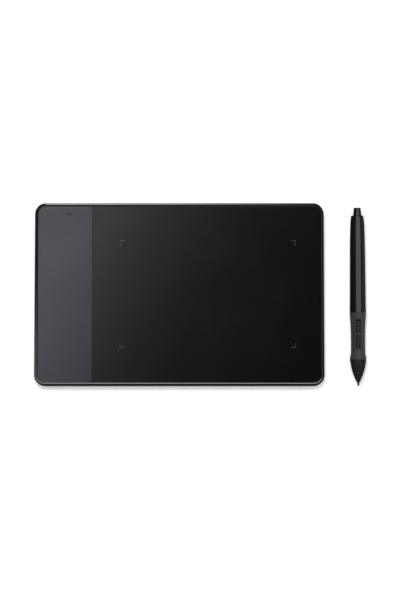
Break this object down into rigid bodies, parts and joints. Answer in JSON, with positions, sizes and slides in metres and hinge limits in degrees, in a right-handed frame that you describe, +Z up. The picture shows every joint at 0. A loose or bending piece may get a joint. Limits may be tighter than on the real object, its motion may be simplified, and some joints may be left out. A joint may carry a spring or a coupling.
{
  "type": "pen drawing tablet",
  "caption": "Thin rectangular pen tablet with rounded corners, a plain side strip with a status light, and a separate two-button pen lying beside it.",
  "frame": {"origin": "middle of the footprint of the tablet and the pen together, on the surface they lie on", "axes": "+X along the tablet's long side towards the pen, +Y away from the user, +Z up"},
  "size_m": [0.2004, 0.111, 0.0099],
  "materials": {
    "gloss_case": "piano-black gloss, faint moulding waviness",
    "drawing_film": "fine-grained satin film",
    "strip_film": "fine-grained satin film, warm grey",
    "cover_plastic": "spark-eroded matte",
    "foot_rubber": "matte",
    "smoked_lens": "smoked, polished",
    "label_film": "printed film, left blank",
    "steel": "bright plated",
    "board_laminate": "solder-masked laminate",
    "chip_resin": "moulded resin",
    "insulator_film": "amber film",
    "light_body": "clear cap over phosphor",
    "gloss_barrel": "piano-black gloss",
    "grip_rubber": "soft-touch matte",
    "cone_plastic": "spark-eroded matte, coarse grain",
    "button_plastic": "satin",
    "nib_plastic": "turned smooth",
    "natural_plastic": "unpigmented moulding",
    "spring_steel": "drawn wire",
    "coil_copper": "enamelled copper wire",
    "ferrite": "sintered, matte",
    "ring_rubber": "smooth"
  },
  "bodies": {
    "tablet": {"top_case": "gloss_case", "bottom_cover": "cover_plastic", "drawing_sheet": "drawing_film", "side_strip": "strip_film", "status_lens": "smoked_lens", "status_led": "light_body", "sensor_board": "board_laminate", "insulator_sheet": "insulator_film", "shield_plate": "steel", "controller_chip": "chip_resin", "grid_switch_chip_rear": "chip_resin", "grid_switch_chip_front": "chip_resin", "clock_crystal": "steel", "usb_shell": "steel", "usb_tongue": "chip_resin", "blank_label": "label_film", "foot_front_left": "foot_rubber", "foot_front_right": "foot_rubber", "foot_rear_left": "foot_rubber", "foot_rear_right": "foot_rubber", "case_screw_front_left": "steel", "case_screw_front_right": "steel", "case_screw_rear_left": "steel", "case_screw_rear_right": "steel"},
    "pen": {"front_cone": "cone_plastic", "grip_sleeve": "grip_rubber", "inner_tube": "cone_plastic", "friction_ring": "ring_rubber", "nib_spring": "spring_steel", "pressure_sensor": "steel", "ferrite_core": "ferrite", "antenna_coil": "coil_copper", "coil_lead_left": "coil_copper", "coil_lead_right": "coil_copper", "pen_chassis": "natural_plastic", "pen_board": "board_laminate", "pen_chip": "chip_resin", "pen_trimmer": "natural_plastic", "front_switch": "chip_resin", "rear_switch": "chip_resin"},
    "nib_carrier": {"nib_holder": "natural_plastic"},
    "nib": {"nib": "nib_plastic"},
    "front_button": {"front_button": "button_plastic", "front_plunger": "natural_plastic"},
    "rear_button": {"rear_button": "button_plastic", "rear_plunger": "natural_plastic"},
    "barrel": {"rear_barrel": "gloss_barrel", "tail_plug": "gloss_barrel"}
  },
  "joints": [
    {"name": "pen_lift", "type": "slide", "parent": "tablet", "child": "pen", "axis": [0, 0, 1], "range_m": [0, 0.08]},
    {"name": "nib_press", "type": "slide", "parent": "pen", "child": "nib_carrier", "axis": [0, 1, 0], "range_m": [0, 0.0004], "stiffness_N_per_m": 6000, "springref_m": -0.0001, "deforming": ["nib_spring"]},
    {"name": "nib_pull", "type": "slide", "parent": "nib_carrier", "child": "nib", "axis": [0, -1, 0], "range_m": [0, 0.03]},
    {"name": "front_button_press", "type": "slide", "parent": "pen", "child": "front_button", "axis": [0, 0, -1], "range_m": [0, 0.00025], "stiffness_N_per_m": 6000, "springref_m": -0.00005},
    {"name": "rear_button_press", "type": "slide", "parent": "pen", "child": "rear_button", "axis": [0, 0, -1], "range_m": [0, 0.00025], "stiffness_N_per_m": 6000, "springref_m": -0.00005},
    {"name": "barrel_pull", "type": "slide", "parent": "pen", "child": "barrel", "axis": [0, 1, 0], "range_m": [0, 0.04]}
  ]
}
